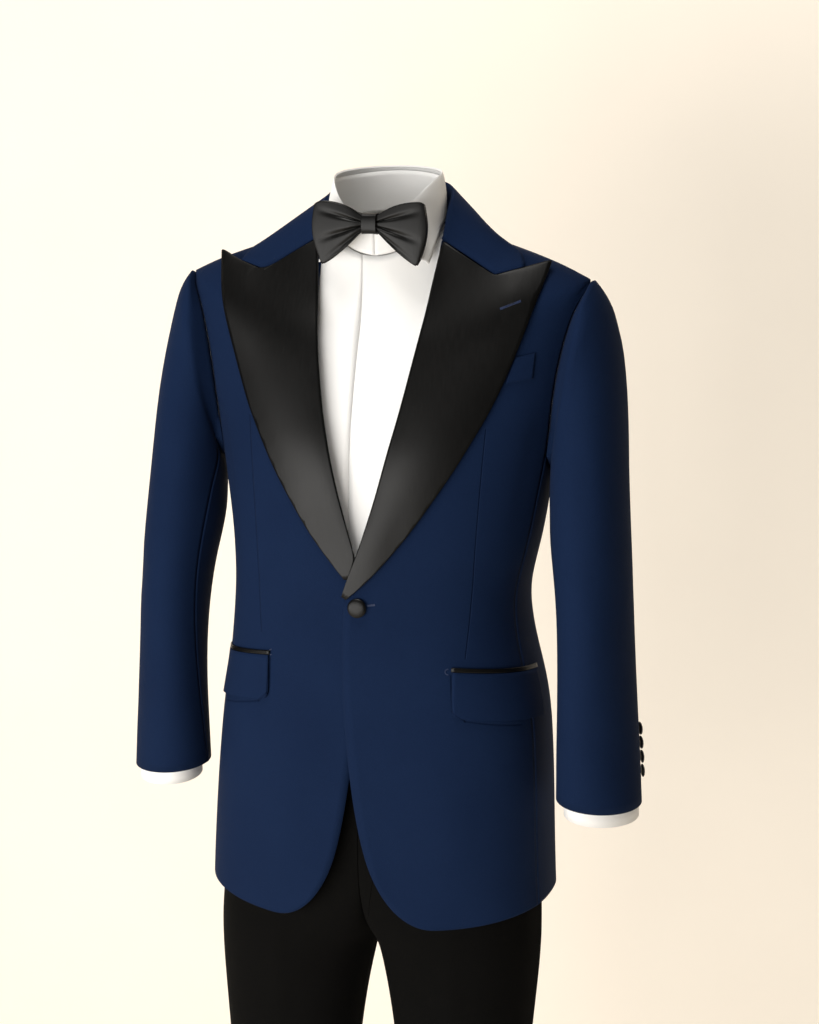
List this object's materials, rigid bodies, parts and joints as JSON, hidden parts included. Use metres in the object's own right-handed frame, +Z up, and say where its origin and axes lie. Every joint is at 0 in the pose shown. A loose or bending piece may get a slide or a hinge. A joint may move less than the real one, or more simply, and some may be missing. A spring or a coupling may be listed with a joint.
{
  "type": "tuxedo",
  "caption": "Dinner suit worn upright: peak-lapel jacket with satin facings, turn-down collar shirt, bow tie and trousers, open at neck, cuffs and hems.",
  "frame": {"origin": "midway between the shoulders at the height where the jacket's shoulder meets the neck", "axes": "+Z up from hem to neck, -Y out of the chest, +X to the wearer's left"},
  "size_m": [0.5898, 0.2398, 1.618],
  "materials": {
    "navy_wool": "fine worsted wool, soft sheen",
    "black_satin": "silk satin, broad sheen",
    "white_shirting": "pressed cotton poplin",
    "black_wool": "worsted wool, matte",
    "cuff_button": "satin black"
  },
  "bodies": {
    "root": {"jacket_front_l": "navy_wool", "jacket_front_r": "navy_wool", "jacket_side_l": "navy_wool", "jacket_side_r": "navy_wool", "jacket_back_l": "navy_wool", "jacket_back_r": "navy_wool", "jacket_collar": "navy_wool", "sleeve_top_l": "navy_wool", "sleeve_top_r": "navy_wool", "sleeve_under_l": "navy_wool", "sleeve_under_r": "navy_wool", "breast_welt": "navy_wool", "pocket_flap_l": "navy_wool", "pocket_flap_r": "navy_wool", "lapel_l": "black_satin", "lapel_r": "black_satin", "pocket_jet_l": "black_satin", "pocket_jet_r": "black_satin", "front_button": "black_satin", "bow_wing_l": "black_satin", "bow_wing_r": "black_satin", "bow_knot": "black_satin", "bow_band": "black_satin", "sleeve_button_l1": "cuff_button", "sleeve_button_l2": "cuff_button", "sleeve_button_l3": "cuff_button", "sleeve_button_l4": "cuff_button", "sleeve_button_r1": "cuff_button", "sleeve_button_r2": "cuff_button", "sleeve_button_r3": "cuff_button", "sleeve_button_r4": "cuff_button", "shirt_front_l": "white_shirting", "shirt_front_r": "white_shirting", "shirt_back": "white_shirting", "shirt_collar_stand": "white_shirting", "shirt_collar_leaf": "white_shirting", "shirt_sleeve_l": "white_shirting", "shirt_sleeve_r": "white_shirting", "shirt_cuff_l": "white_shirting", "shirt_cuff_r": "white_shirting", "trouser_front_l": "black_wool", "trouser_front_r": "black_wool", "trouser_back_l": "black_wool", "trouser_back_r": "black_wool", "waistband": "black_wool"}
  },
  "joints": []
}
